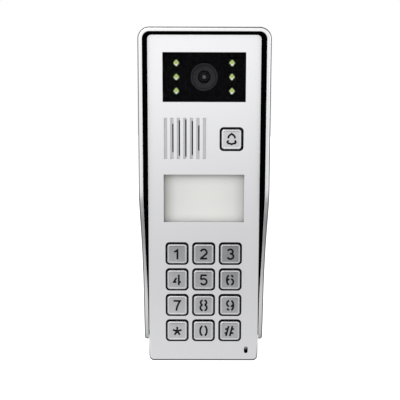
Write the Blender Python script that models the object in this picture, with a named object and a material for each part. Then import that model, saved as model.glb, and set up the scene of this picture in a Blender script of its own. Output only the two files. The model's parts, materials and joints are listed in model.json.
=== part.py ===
"""Door intercom panel: a slim outdoor call station with a rain hood, camera, speaker and keypad.

Frame: +Z up, the front faces -Y, the wall is the plane y = 0, and the origin is the middle of
the wall plate's rear face. All sizes are in millimetres times MM, so the model is in metres.
"""

import math

import bmesh
import bpy
from mathutils import Vector

MM = 0.001
GAP = 0.3 * MM
OVERCUT = 1.0 * MM  # how far a cutting shape runs past the surface it cuts

# Depths, measured out from the wall towards the front.
WALL_PLATE_DEPTH = 1.5 * MM
HOUSING_BACK = 1.8 * MM
HOUSING_FLOOR = 3.8 * MM
HOUSING_RIM = 23.2 * MM
PANEL_BACK = 24.0 * MM
PANEL_FACE = 27.0 * MM

# Front panel.
PANEL_WIDTH = 83.0 * MM
PANEL_HEIGHT = 246.4 * MM
PANEL_TOP_RADIUS = 3.2 * MM
PANEL_BOTTOM_RADIUS = 3.8 * MM
PANEL_BEVEL_WIDTH = 0.5 * MM
PANEL_BEVEL_DEPTH = 0.5 * MM

# Lugs behind the panel's bottom edge, which the security screws thread into.
PANEL_LUG = (8.0 * MM, 7.4 * MM)
PANEL_LUG_BACK = 9.0 * MM
PANEL_LUG_LIFT = 7.9 * MM

# Rain hood: its height and how far it stands in front of the panel's face there, in millimetres.
HOOD_SWEEP = [
    (12, 26.3),
    (-1, 23.2),
    (-17, 17.4),
    (-33, 12.1),
    (-58, 6.6),
    (-90, 3.3),
    (-102, 1.7),
    (-105, 0.9),
]
HOOD_DEPTH = 26.3 * MM
HOOD_END = -105.0 * MM
HOOD_FLARE = 0.078
HOOD_SIDE = 3.1 * MM
HOOD_WALL = 1.4 * MM
HOOD_LIP = 2.0 * MM
HOOD_LIP_GROWTH = 1.35 * MM
HOOD_LIP_SPREAD = 1.0 * MM  # how much the lip widens towards its lower end, between these heights
HOOD_SPREAD_HEIGHTS = (-30.0 * MM, -80.0 * MM)
HOOD_LIP_DEPTH = 1.2 * MM
HOOD_EDGE_ROUND = 0.6 * MM
HOOD_END_ROUND = 1.5 * MM
HOOD_END_NARROWING = 0.9 * MM
HOOD_BACK = 0.5 * MM
HOOD_BEND = PANEL_BACK
LINER_INSIDE = 0.35 * MM

# Keypad.
KEY_PITCH = 20.0 * MM
KEYPAD_CENTRE = -68.6 * MM
KEY_HOLE = 17.4 * MM
KEY_HOLE_RADIUS = 3.0 * MM
KEY_CAP = 14.9 * MM
KEY_CAP_RADIUS = 2.2 * MM
KEY_RIM = 1.35 * MM
KEY_RIM_DEPTH = 0.35 * MM
KEY_EDGE_ROUND = 0.5 * MM
KEY_FACE = PANEL_FACE + 1.6 * MM
KEY_CAP_BACK = KEY_FACE - 2.0 * MM
KEY_FLANGE = 18.6 * MM
KEY_FLANGE_DEPTH = 1.3 * MM
KEY_TRAVEL = 1.0 * MM
STROKE = 1.2 * MM
KEYPAD_BOARD = (62.0 * MM, 83.0 * MM)
KEYPAD_BOARD_FRONT = 16.6 * MM
KEYPAD_MAT = (60.5 * MM, 81.5 * MM)
KEYPAD_MAT_DEPTH = 1.2 * MM
DOME_FOOT_RADIUS = 5.6 * MM
DOME_TOP_RADIUS = 3.6 * MM

# Call button, above the keypad and to the right of the speaker.
CALL_HOLE = 17.6 * MM
CALL_PLACE = (20.2 * MM, 47.6 * MM)

# Camera window with its lens and six lamps.
CAMERA_CENTRE = (0.0, 92.65 * MM)
CAMERA_OPENING = (60.6 * MM, 35.8 * MM)
CAMERA_MASK = (66.0 * MM, 41.0 * MM)
CAMERA_MASK_DEPTH = 2.2 * MM
CAMERA_BOARD = (62.0 * MM, 38.0 * MM)
CAMERA_BOARD_FRONT = 16.1 * MM
LAMP_SIDE = 20.4 * MM
LAMP_PITCH = 10.2 * MM
LAMP_RADIUS = 2.5 * MM
LENS_RADIUS = 9.9 * MM
BOARD_DEPTH = 1.6 * MM

# Name window.
NAME_CENTRE = (0.0, 3.3 * MM)
NAME_OPENING = (59.6 * MM, 35.8 * MM)
NAME_WINDOW = (64.0 * MM, 40.0 * MM)
NAME_WINDOW_DEPTH = 1.5 * MM
NAME_CARD = (58.0 * MM, 34.0 * MM)
NAME_CARD_DEPTH = 0.5 * MM
BACKLIGHT_BOARD = (62.0 * MM, 38.0 * MM)
BACKLIGHT_BOARD_FRONT = 17.6 * MM

# Speaker slots, cut in a row.
SPEAKER_CENTRE = (-14.0 * MM, 48.0 * MM)
SLOT_COUNT = 7
SLOT_PITCH = 4.77 * MM
SLOT_WIDTH = 2.25 * MM
SLOT_HEIGHT = 30.3 * MM
SLIT_WIDTH = 1.0 * MM
SLIT_CIRCLE = 13.8 * MM
BAFFLE = (35.0 * MM, 35.0 * MM)
BAFFLE_DEPTH = 1.2 * MM

# Microphone.
MICROPHONE_PLACE = (32.4 * MM, -114.1 * MM)
MICROPHONE_HOLE = (2.8 * MM, 5.3 * MM)

# Security screws in the bottom edge.
SCREW_SIDE = 20.0 * MM
SCREW_DEPTH = 13.0 * MM
SCREW_HEAD_RADIUS = 2.6 * MM
SCREW_SHANK_RADIUS = 1.4 * MM

# Wall plate with its two screw slots, and the cable's way in.
WALL_PLATE = (70.0 * MM, 226.0 * MM)
WALL_SLOT = (8.0 * MM, 4.6 * MM)
WALL_SLOT_HEIGHTS = (88.0 * MM, -106.0 * MM)
CABLE_WAY = (24.0 * MM, 20.0 * MM)
CABLE_HEIGHT = -88.0 * MM
CABLE_RADIUS = 3.2 * MM
GROMMET_RADIUS = 5.7 * MM

# Back housing: how far it lies inside the panel's outline, its wall and its rear edge's bevel.
HOUSING_INSET = 0.1 * MM
HOUSING_WALL = 1.8 * MM
HOUSING_BEVEL = 0.8 * MM

# Main board and what it carries; a place is (x, z).
MAIN_BOARD = (74.0 * MM, 132.0 * MM)
MAIN_BOARD_PLACE = (0.0, 2.0 * MM)
MAIN_BOARD_FRONT = 6.2 * MM
TERMINAL_BLOCK = (40.0 * MM, 9.0 * MM)
TERMINAL_PLACE = (-10.0 * MM, -56.0 * MM)
TERMINAL_DEPTH = 8.0 * MM
TERMINAL_COUNT = 8
TERMINAL_PITCH = 4.9 * MM
RELAY = (19.0 * MM, 15.5 * MM)
RELAY_PLACE = (22.0 * MM, -30.0 * MM)
RELAY_DEPTH = 8.0 * MM
RELAY_BEVEL = 0.5 * MM

# Finish: colour, roughness, metallic.
FINISHES = {
    "panel_aluminium": ((0.80, 0.80, 0.82), 0.34, 0.9),
    "hood_aluminium": ((0.82, 0.82, 0.83), 0.28, 1.0),
    "key_metal": ((0.55, 0.55, 0.58), 0.32, 1.0),
    "housing_metal": ((0.42, 0.43, 0.44), 0.45, 0.8),
    "zinc_steel": ((0.62, 0.63, 0.64), 0.35, 1.0),
    "black_plastic": ((0.010, 0.010, 0.011), 0.42, 0.0),
    "liner_black": ((0.004, 0.004, 0.004), 0.60, 0.0),
    "smoked_glass": ((0.010, 0.010, 0.012), 0.05, 0.0),
    "lens_glass": ((0.02, 0.02, 0.04), 0.04, 0.0),
    "lamp_resin": ((0.62, 0.80, 0.22), 0.15, 0.0),
    "name_acrylic": ((0.80, 0.80, 0.77), 0.30, 0.0),
    "card": ((0.90, 0.89, 0.85), 0.80, 0.0),
    "circuit_board": ((0.03, 0.16, 0.07), 0.45, 0.0),
    "terminal_green": ((0.06, 0.30, 0.12), 0.45, 0.0),
    "relay_blue": ((0.03, 0.10, 0.35), 0.40, 0.0),
    "silicone": ((0.45, 0.46, 0.47), 0.65, 0.0),
    "seal_rubber": ((0.02, 0.02, 0.02), 0.80, 0.0),
    "cone_paper": ((0.03, 0.03, 0.03), 0.85, 0.0),
}


def clear_scene():
    for item in list(bpy.data.objects):
        bpy.data.objects.remove(item, do_unlink=True)


def finish_material(finish):
    material = bpy.data.materials.get(finish)
    if material is None:
        colour, roughness, metallic = FINISHES[finish]
        material = bpy.data.materials.new(finish)
        material.use_nodes = True
        shader = material.node_tree.nodes["Principled BSDF"]
        shader.inputs["Base Color"].default_value = (*colour, 1.0)
        shader.inputs["Roughness"].default_value = roughness
        shader.inputs["Metallic"].default_value = metallic
    return material


def make_object(name, bm, finish, place=(0.0, 0.0, 0.0)):
    """Turn the bmesh into a named object, with its faces pointing out and its own material."""
    bmesh.ops.recalc_face_normals(bm, faces=bm.faces)
    mesh = bpy.data.meshes.new(name)
    bm.to_mesh(mesh)
    bm.free()
    mesh.materials.append(finish_material(finish))
    made = bpy.data.objects.new(name, mesh)
    made.location = place
    bpy.context.scene.collection.objects.link(made)
    return made


def combine(target, bm, operation):
    """Cut the shape in bm out of target, or add it on, with a Boolean modifier."""
    tool = make_object(f"{target.name}_tool_{len(target.modifiers)}", bm, "black_plastic")
    tool.location = target.location
    tool.hide_render = True
    tool.display_type = "WIRE"
    modifier = target.modifiers.new(tool.name, "BOOLEAN")
    modifier.operation = operation
    modifier.solver = "EXACT"
    modifier.object = tool


# Outlines are lists of (x, z) points; a depth is how far a plane stands in front of the wall.


def rounded_rectangle(width, height, top_radius, bottom_radius=None, centre=(0.0, 0.0), steps=4):
    if bottom_radius is None:
        bottom_radius = top_radius
    corners = [(1, 1, top_radius), (-1, 1, top_radius), (-1, -1, bottom_radius), (1, -1, bottom_radius)]
    points = []
    for turn, (side, level, radius) in enumerate(corners):
        middle_x = centre[0] + side * (width / 2 - radius)
        middle_z = centre[1] + level * (height / 2 - radius)
        if radius == 0.0:
            points.append((middle_x, middle_z))
            continue
        for step in range(steps + 1):
            angle = math.radians(90 * turn + 90 * step / steps)
            points.append((middle_x + radius * math.cos(angle), middle_z + radius * math.sin(angle)))
    return points


def circle(radius, centre=(0.0, 0.0), steps=24):
    points = []
    for step in range(steps):
        angle = 2 * math.pi * step / steps
        points.append((centre[0] + radius * math.cos(angle), centre[1] + radius * math.sin(angle)))
    return points


def arc(centre_x, centre_z, radius_x, radius_z, start, end, steps=7):
    """Points on an ellipse, in millimetres, from one angle in degrees to another."""
    points = []
    for step in range(steps + 1):
        angle = math.radians(start + (end - start) * step / steps)
        points.append((centre_x + radius_x * math.cos(angle), centre_z + radius_z * math.sin(angle)))
    return points


def ribbon(points, width):
    """The outline of a stroke of even width along a centre line, with mitred corners."""
    left = []
    right = []
    for index, point in enumerate(points):
        here = Vector(point)
        into = here - Vector(points[index - 1]) if index > 0 else Vector(points[1]) - here
        out = Vector(points[index + 1]) - here if index + 1 < len(points) else into
        into.normalize()
        out.normalize()
        along = (into + out).normalized()
        across = Vector((-along.y, along.x))
        reach = width / 2 / max(along.dot(into), 0.3)
        left.append(tuple(here + across * reach))
        right.append(tuple(here - across * reach))
    return left + right[::-1]


def ring_at(outline, depth):
    return [(x, -depth, z) for x, z in outline]


def loft(bm, rings, closed=False):
    """Join rings of equally many points with faces; cap both ends, or close the loft on itself."""
    made = [[bm.verts.new(point) for point in ring] for ring in rings]
    count = len(made[0])
    pairs = list(zip(made, made[1:]))
    if closed:
        pairs.append((made[-1], made[0]))
    for first, second in pairs:
        for index in range(count):
            after = (index + 1) % count
            bm.faces.new((first[index], first[after], second[after], second[index]))
    if not closed:
        bm.faces.new(made[0])
        bm.faces.new(made[-1])


def prism(bm, outline, near, far):
    loft(bm, [ring_at(outline, near), ring_at(outline, far)])


def slab(name, finish, outline, near, far, place=(0.0, 0.0, 0.0)):
    bm = bmesh.new()
    prism(bm, outline, near, far)
    return make_object(name, bm, finish, place)


def turned(bm, profile, centre=(0.0, 0.0), closed=False, steps=24):
    """A round shape about an axis along Y, from (radius, depth) pairs."""
    loft(bm, [ring_at(circle(radius, centre, steps), depth) for radius, depth in profile], closed)


def turned_object(name, finish, profile, centre=(0.0, 0.0), closed=False, steps=24):
    bm = bmesh.new()
    turned(bm, profile, centre, closed, steps)
    return make_object(name, bm, finish)


def panel_outline(inset):
    return rounded_rectangle(
        PANEL_WIDTH - 2 * inset,
        PANEL_HEIGHT - 2 * inset,
        PANEL_TOP_RADIUS - inset,
        PANEL_BOTTOM_RADIUS - inset,
    )


# Strokes of the stencil-cut legends, in millimetres from the middle of the cap.


def half_turn(strokes):
    return [[(-x, -z) for x, z in stroke] for stroke in strokes]


def mirrored(strokes):
    return strokes + [[(-x, z) for x, z in stroke] for stroke in strokes]


SIX = [
    arc(-0.6, -0.1, 2.0, 3.7, 100, 260, 9),
    [(0.65, 3.6), (1.4, 3.2), (2.2, 2.3)],
    arc(0.3, -1.55, 2.05, 2.3, 80, -80, 8),
    [(-2.4, -0.9), (-1.7, 0.2), (-0.6, 0.75)],
]
STAR_ARM = 3.5

LEGENDS = {
    "1": [[(-2.2, 1.5), (-0.9, 2.1), (0.3, 3.0), (0.3, -4.1)]],
    "2": [arc(0.0, 1.3, 2.3, 2.25, 165, -32, 9) + [(-2.1, -3.4)], [(-2.7, -3.55), (2.6, -3.55)]],
    "3": [arc(-0.1, 1.85, 1.95, 1.75, 160, -85, 9), arc(0.0, -1.8, 2.3, 2.05, 100, -160, 10)],
    "4": [[(-0.5, 1.6), (-2.4, -1.7), (-0.5, -1.7)], [(1.3, 4.0), (1.3, -4.1)], [(1.3, -1.7), (2.9, -1.7)]],
    "5": [[(2.3, 3.55), (-1.75, 3.55), (-2.1, 0.1)], arc(0.0, -1.4, 2.35, 2.3, 142, -155, 10)],
    "6": SIX,
    "7": [[(-2.8, 3.55), (2.2, 3.55), (0.8, 1.0), (-0.2, -1.6), (-0.6, -4.1)]],
    "8": mirrored([arc(-0.45, 2.3, 1.75, 1.75, 97, 262, 8), arc(-0.45, -1.75, 2.0, 2.2, 98, 263, 8)]),
    "9": half_turn(SIX),
    "star": [
        [(0.0, -0.3), (STAR_ARM * math.cos(math.radians(a)), STAR_ARM * math.sin(math.radians(a)) - 0.3)]
        for a in (90, 162, 234, 306, 18)
    ],
    "0": mirrored([arc(-0.6, 0.0, 1.95, 3.7, 96, 264, 9)]),
    "hash": [
        [(-0.9, 3.8), (-2.9, -4.0)],
        [(2.0, 3.8), (0.0, -4.0)],
        [(-3.5, 1.45), (-1.3, 1.45)],
        [(1.2, 1.45), (3.2, 1.45)],
        [(-3.9, -1.75), (-2.1, -1.75)],
        [(0.4, -1.75), (2.8, -1.75)],
    ],
    "call": [
        [(-2.45, 0.7), (-2.3, 2.0), (-1.55, 3.0), (0.0, 4.05), (1.55, 3.0), (2.3, 2.0), (2.45, 0.7)],
        [
            (-2.3, -0.65),
            (-3.1, -2.1),
            (-2.4, -2.95),
            (-1.1, -3.1),
            (0.0, -3.6),
            (1.1, -3.1),
            (2.4, -2.95),
            (3.1, -2.1),
            (2.3, -0.65),
        ],
    ],
}


def make_wall_plate():
    outline = rounded_rectangle(*WALL_PLATE, 3 * MM)
    plate = slab("wall_plate", "zinc_steel", outline, 0.0, WALL_PLATE_DEPTH)
    holes = bmesh.new()
    far = WALL_PLATE_DEPTH + OVERCUT
    for height in WALL_SLOT_HEIGHTS:
        slot = rounded_rectangle(*WALL_SLOT, WALL_SLOT[1] / 2, centre=(0.0, height))
        prism(holes, slot, -OVERCUT, far)
    way = rounded_rectangle(*CABLE_WAY, 3 * MM, centre=(0.0, CABLE_HEIGHT))
    prism(holes, way, -OVERCUT, far)
    combine(plate, holes, "DIFFERENCE")


def make_back_housing():
    outside = HOUSING_INSET
    inside = HOUSING_INSET + HOUSING_WALL
    bm = bmesh.new()
    rings = [
        ring_at(panel_outline(inside), HOUSING_FLOOR),
        ring_at(panel_outline(inside), HOUSING_RIM),
        ring_at(panel_outline(outside), HOUSING_RIM),
        ring_at(panel_outline(outside), HOUSING_BACK + HOUSING_BEVEL),
        ring_at(panel_outline(outside + HOUSING_BEVEL), HOUSING_BACK),
    ]
    loft(bm, rings)
    housing = make_object("back_housing", bm, "housing_metal")
    holes = bmesh.new()
    seat = GROMMET_RADIUS + GAP
    ends = [(seat, HOUSING_BACK - OVERCUT), (seat, HOUSING_FLOOR + OVERCUT)]
    turned(holes, ends, (0.0, CABLE_HEIGHT))
    bottom = -PANEL_HEIGHT / 2
    for side in (-1, 1):
        upright_bar(holes, side * SCREW_SIDE, SCREW_HEAD_RADIUS + GAP, bottom - OVERCUT, bottom + 3 * MM)
    combine(housing, holes, "DIFFERENCE")


def upright_bar(bm, x, radius, low, high, steps=20):
    """A round bar along Z at the screws' depth."""
    rings = []
    for level in (low, high):
        rings.append([(x + px, -SCREW_DEPTH + pz, level) for px, pz in circle(radius, steps=steps)])
    loft(bm, rings)


def make_cable_grommet():
    turned_object(
        "cable_grommet",
        "seal_rubber",
        [
            (CABLE_RADIUS, HOUSING_BACK),
            (GROMMET_RADIUS, HOUSING_BACK),
            (GROMMET_RADIUS, HOUSING_FLOOR + GAP),
            (8.5 * MM, HOUSING_FLOOR + GAP),
            (8.0 * MM, HOUSING_FLOOR + 1.6 * MM),
            (CABLE_RADIUS, HOUSING_FLOOR + 2.2 * MM),
        ],
        (0.0, CABLE_HEIGHT),
        closed=True,
    )


def make_panel_gasket():
    bm = bmesh.new()
    near = HOUSING_RIM + GAP
    far = PANEL_BACK - 0.25 * MM
    outer = panel_outline(0.4 * MM)
    inner = panel_outline(1.7 * MM)
    rings = [ring_at(outer, near), ring_at(outer, far), ring_at(inner, far), ring_at(inner, near)]
    loft(bm, rings, closed=True)
    make_object("panel_gasket", bm, "seal_rubber")


def slot_left_edges():
    first = SPEAKER_CENTRE[0] - (SLOT_COUNT - 1) / 2 * SLOT_PITCH - SLOT_WIDTH / 2
    return [first + index * SLOT_PITCH for index in range(SLOT_COUNT)]


def make_front_panel():
    bm = bmesh.new()
    rings = [ring_at(panel_outline(0.0), PANEL_BACK)]
    for step in range(4):
        angle = math.radians(30 * step)
        inset = PANEL_BEVEL_WIDTH * (1 - math.cos(angle))
        rings.append(ring_at(panel_outline(inset), PANEL_FACE - PANEL_BEVEL_DEPTH * (1 - math.sin(angle))))
    loft(bm, rings)
    panel = make_object("front_panel", bm, "panel_aluminium")

    bottom = -PANEL_HEIGHT / 2
    lugs = bmesh.new()
    for side in (-1, 1):
        lug = rounded_rectangle(*PANEL_LUG, 0.0, centre=(side * SCREW_SIDE, bottom + PANEL_LUG_LIFT))
        prism(lugs, lug, PANEL_LUG_BACK, PANEL_BACK + OVERCUT)
    combine(panel, lugs, "UNION")

    openings = bmesh.new()
    near = PANEL_BACK - OVERCUT
    far = PANEL_FACE + OVERCUT
    prism(openings, rounded_rectangle(*CAMERA_OPENING, 0.0, centre=CAMERA_CENTRE), near, far)
    prism(openings, rounded_rectangle(*NAME_OPENING, 0.0, centre=NAME_CENTRE), near, far)
    for x, z in key_places().values():
        hole = rounded_rectangle(KEY_HOLE, KEY_HOLE, KEY_HOLE_RADIUS, centre=(x, z), steps=3)
        prism(openings, hole, near, far)
    prism(openings, rounded_rectangle(CALL_HOLE, CALL_HOLE, KEY_HOLE_RADIUS, centre=CALL_PLACE), near, far)
    for left in slot_left_edges():
        middle = (left + SLOT_WIDTH / 2, SPEAKER_CENTRE[1])
        prism(openings, rounded_rectangle(SLOT_WIDTH, SLOT_HEIGHT, 0.0, centre=middle), near, far)
    oval = rounded_rectangle(*MICROPHONE_HOLE, MICROPHONE_HOLE[0] / 2 - 0.01 * MM, centre=MICROPHONE_PLACE)
    prism(openings, oval, near, far)
    thread = SCREW_SHANK_RADIUS + GAP
    for side in (-1, 1):
        upright_bar(openings, side * SCREW_SIDE, thread, bottom + 3 * MM, bottom + 14 * MM)
    combine(panel, openings, "DIFFERENCE")


def make_security_screws():
    bottom = -PANEL_HEIGHT / 2
    for name, side in (("left", -1), ("right", 1)):
        bm = bmesh.new()
        profile = [
            (SCREW_HEAD_RADIUS, bottom + 0.3 * MM),
            (SCREW_HEAD_RADIUS, bottom + 2.2 * MM),
            (SCREW_SHANK_RADIUS, bottom + 3.0 * MM),
            (SCREW_SHANK_RADIUS, bottom + 10.5 * MM),
        ]
        rings = []
        for radius, level in profile:
            rings.append([(px, -SCREW_DEPTH + pz, level) for px, pz in circle(radius, steps=18)])
        loft(bm, rings)
        make_object(f"security_screw_{name}", bm, "zinc_steel", (side * SCREW_SIDE, 0.0, 0.0))
        socket = bmesh.new()
        hexagon = circle(1.3 * MM, steps=6)
        rings = []
        for level in (bottom - OVERCUT, bottom + 1.6 * MM):
            rings.append([(px, -SCREW_DEPTH + pz, level) for px, pz in hexagon])
        loft(socket, rings)
        combine(bpy.data.objects[f"security_screw_{name}"], socket, "DIFFERENCE")


# The hood and its liner are swept along the panel's edge: up one side, over the top and down.


def smooth_step_curve(knots, at):
    """A smooth curve through (height, depth) knots that fall in height; slopes from neighbours."""
    if at >= knots[0][0]:
        return knots[0][1]
    slopes = []
    for index in range(len(knots)):
        low = knots[min(index + 1, len(knots) - 1)]
        high = knots[max(index - 1, 0)]
        slopes.append((high[1] - low[1]) / (high[0] - low[0]))
    slopes[0] = 0.0
    for index in range(len(knots) - 1):
        high = knots[index]
        low = knots[index + 1]
        if at >= low[0]:
            span = high[0] - low[0]
            t = (at - low[0]) / span
            return (
                (2 * t**3 - 3 * t**2 + 1) * low[1]
                + (t**3 - 2 * t**2 + t) * span * slopes[index + 1]
                + (-2 * t**3 + 3 * t**2) * high[1]
                + (t**3 - t**2) * span * slopes[index]
            )
    return knots[-1][1]


def hood_path():
    """Places on the panel's edge as (x, z, outward x, outward z, hood depth), left to right."""
    half_width = PANEL_WIDTH / 2
    top = PANEL_HEIGHT / 2
    radius = PANEL_TOP_RADIUS
    heights = [HOOD_END, HOOD_END + 0.5 * MM, HOOD_END + 1.5 * MM, HOOD_END + 3.5 * MM]
    while heights[-1] < 10 * MM:
        heights.append(heights[-1] + 6.0 * MM)
    heights += [14 * MM, 60 * MM, top - radius - 1 * MM]
    side = []
    for height in heights:
        depth = smooth_step_curve(HOOD_SWEEP, height / MM) * MM
        side.append((-half_width, height, -1.0, 0.0, depth))
    for step in range(7):
        angle = math.radians(180 - 90 * step / 6)
        side.append(
            (
                -half_width + radius + radius * math.cos(angle),
                top - radius + radius * math.sin(angle),
                math.cos(angle),
                math.sin(angle),
                HOOD_DEPTH,
            )
        )
    middle = [(-20 * MM, top, 0.0, 1.0, HOOD_DEPTH), (20 * MM, top, 0.0, 1.0, HOOD_DEPTH)]
    return side + middle + [(-x, z, -nx, nz, depth) for x, z, nx, nz, depth in side[::-1]]


def lip_inner_edge(height, depth):
    start, end = HOOD_SPREAD_HEIGHTS
    along = min(1.0, max(0.0, (start - height) / (start - end)))
    spread = HOOD_LIP_SPREAD * along**2 * (3 - 2 * along)
    width = HOOD_LIP + HOOD_LIP_GROWTH * depth / HOOD_DEPTH + spread
    return HOOD_SIDE + HOOD_FLARE * depth - width


def hood_section(height, depth, narrowing):
    """The hood's cross-section as (offset from the panel's edge, depth from the wall) points."""
    front = PANEL_FACE + depth
    side = HOOD_SIDE - narrowing
    outer = side + HOOD_FLARE * depth
    inner = lip_inner_edge(height, depth)
    wall = HOOD_SIDE - HOOD_WALL
    return [
        (side, HOOD_BACK),
        (side, HOOD_BEND),
        (outer, front - HOOD_EDGE_ROUND),
        (outer - HOOD_EDGE_ROUND, front),
        (inner, front),
        (inner, front - HOOD_LIP_DEPTH),
        (wall + HOOD_FLARE * depth, front - HOOD_LIP_DEPTH),
        (wall, HOOD_BEND),
        (wall, HOOD_BACK),
    ]


def liner_section(height, depth):
    front = PANEL_FACE + depth - HOOD_LIP_DEPTH - GAP
    outer = HOOD_SIDE - HOOD_WALL - GAP
    flared = outer + HOOD_FLARE * depth
    inner = max(LINER_INSIDE, lip_inner_edge(height, depth))
    return [
        (outer, HOUSING_BACK),
        (outer, HOOD_BEND),
        (flared, front),
        (min(inner, flared - 0.3 * MM), front),
        (LINER_INSIDE, HOOD_BEND),
        (LINER_INSIDE, HOUSING_BACK),
    ]


def sweep(path, section_at):
    bm = bmesh.new()
    rings = []
    for x, z, normal_x, normal_z, depth in path:
        ring = []
        for offset, out in section_at(z, depth):
            ring.append((x + normal_x * offset, -out, z + normal_z * offset))
        rings.append(ring)
    loft(bm, rings)
    return bm


def make_rain_hood():
    def section_at(height, depth):
        rounding = max(0.0, 1 - (height - HOOD_END) / HOOD_END_ROUND)
        return hood_section(height, depth, HOOD_END_NARROWING * rounding**2)

    make_object("rain_hood", sweep(hood_path(), section_at), "hood_aluminium")


def make_hood_liner():
    path = [place for place in hood_path() if place[1] > HOOD_END + 1.0 * MM]
    make_object("hood_liner", sweep(path, liner_section), "liner_black")


def make_camera():
    width, height = CAMERA_OPENING
    pane = rounded_rectangle(width - 2 * GAP, height - 2 * GAP, 0.0, centre=CAMERA_CENTRE)
    slab("camera_window", "smoked_glass", pane, PANEL_BACK, PANEL_FACE - 0.4 * MM)

    mask_far = PANEL_BACK - GAP
    mask_near = mask_far - CAMERA_MASK_DEPTH
    mask_outline = rounded_rectangle(*CAMERA_MASK, 1.5 * MM, centre=CAMERA_CENTRE)
    mask = slab("camera_mask", "black_plastic", mask_outline, mask_near, mask_far)
    holes = bmesh.new()
    near = mask_near - OVERCUT
    far = mask_far + OVERCUT
    for x, z in lamp_places():
        turned(holes, [(LAMP_RADIUS + GAP, near), (LAMP_RADIUS + GAP, far)], (x, z), steps=16)
    turned(holes, [(LENS_RADIUS + GAP, near), (LENS_RADIUS + GAP, far)], CAMERA_CENTRE)
    combine(mask, holes, "DIFFERENCE")

    board = rounded_rectangle(*CAMERA_BOARD, 1 * MM, centre=CAMERA_CENTRE, steps=2)
    slab("camera_board", "circuit_board", board, CAMERA_BOARD_FRONT - BOARD_DEPTH, CAMERA_BOARD_FRONT)

    foot = CAMERA_BOARD_FRONT + GAP
    front = PANEL_BACK - 0.5 * MM
    turned_object(
        "lens_barrel",
        "black_plastic",
        [
            (4.6 * MM, front - 4.5 * MM),
            (4.6 * MM, front - 2.6 * MM),
            (7.8 * MM, front - 0.8 * MM),
            (8.2 * MM, front),
            (9.5 * MM, front),
            (LENS_RADIUS, front - 0.4 * MM),
            (LENS_RADIUS, foot),
        ],
        CAMERA_CENTRE,
    )
    turned_object(
        "lens_glass",
        "lens_glass",
        [
            (4.2 * MM, front - 4.2 * MM),
            (4.2 * MM, front - 3.2 * MM),
            (3.3 * MM, front - 2.4 * MM),
            (2.2 * MM, front - 2.0 * MM),
            (0.8 * MM, front - 1.8 * MM),
        ],
        CAMERA_CENTRE,
        steps=24,
    )
    for number, place in enumerate(lamp_places(), 1):
        turned_object(
            f"lamp_{number}",
            "lamp_resin",
            [
                (LAMP_RADIUS, foot),
                (LAMP_RADIUS, front - 2.2 * MM),
                (2.2 * MM, front - 1.1 * MM),
                (1.5 * MM, front - 0.4 * MM),
                (0.6 * MM, front - 0.05 * MM),
            ],
            place,
            steps=16,
        )


def lamp_places():
    places = []
    for side in (-1, 1):
        for row in (1, 0, -1):
            places.append((side * LAMP_SIDE, CAMERA_CENTRE[1] - 0.05 * MM + row * LAMP_PITCH))
    return places


def make_speaker():
    far = PANEL_BACK - GAP
    near = far - BAFFLE_DEPTH
    outline = rounded_rectangle(*BAFFLE, 2 * MM, centre=SPEAKER_CENTRE)
    baffle = slab("speaker_baffle", "panel_aluminium", outline, near, far)
    slits = bmesh.new()
    for left in slot_left_edges()[1:-1]:
        middle = left + SLOT_WIDTH - SLIT_WIDTH / 2
        reach = math.sqrt(SLIT_CIRCLE**2 - (middle - SPEAKER_CENTRE[0]) ** 2)
        slit = rounded_rectangle(SLIT_WIDTH, 2 * reach, 0.0, centre=(middle, SPEAKER_CENTRE[1]))
        prism(slits, slit, near - OVERCUT, far + OVERCUT)
    combine(baffle, slits, "DIFFERENCE")

    rim = near - GAP
    turned_object(
        "speaker_frame",
        "black_plastic",
        [
            (8.0 * MM, rim - 6.2 * MM),
            (16.2 * MM, rim),
            (18.5 * MM, rim),
            (18.5 * MM, rim - 1.7 * MM),
            (12.0 * MM, rim - 6.5 * MM),
            (11.5 * MM, rim - 8.5 * MM),
        ],
        SPEAKER_CENTRE,
    )
    turned_object(
        "speaker_cone",
        "cone_paper",
        [
            (3.8 * MM, rim - 3.6 * MM),
            (4.4 * MM, rim - 3.4 * MM),
            (14.6 * MM, rim - 0.4 * MM),
            (14.6 * MM, rim - 0.8 * MM),
            (4.4 * MM, rim - 4.2 * MM),
        ],
        SPEAKER_CENTRE,
    )


def make_name_window():
    window = rounded_rectangle(*NAME_WINDOW, 1 * MM, centre=NAME_CENTRE, steps=2)
    window_front = PANEL_BACK - GAP
    window_back = window_front - NAME_WINDOW_DEPTH
    slab("name_window", "name_acrylic", window, window_back, window_front)
    card = rounded_rectangle(*NAME_CARD, 0.0, centre=NAME_CENTRE)
    slab("name_card", "card", card, window_back - GAP - NAME_CARD_DEPTH, window_back - GAP)
    board = rounded_rectangle(*BACKLIGHT_BOARD, 0.0, centre=NAME_CENTRE)
    board_front = BACKLIGHT_BOARD_FRONT
    slab("backlight_board", "circuit_board", board, board_front - BOARD_DEPTH, board_front)


KEY_ROWS = [["1", "2", "3"], ["4", "5", "6"], ["7", "8", "9"], ["star", "0", "hash"]]


def key_places():
    places = {}
    for row, names in enumerate(KEY_ROWS):
        for column, name in enumerate(names):
            places[name] = ((column - 1) * KEY_PITCH, KEYPAD_CENTRE + (1.5 - row) * KEY_PITCH)
    return places


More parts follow.
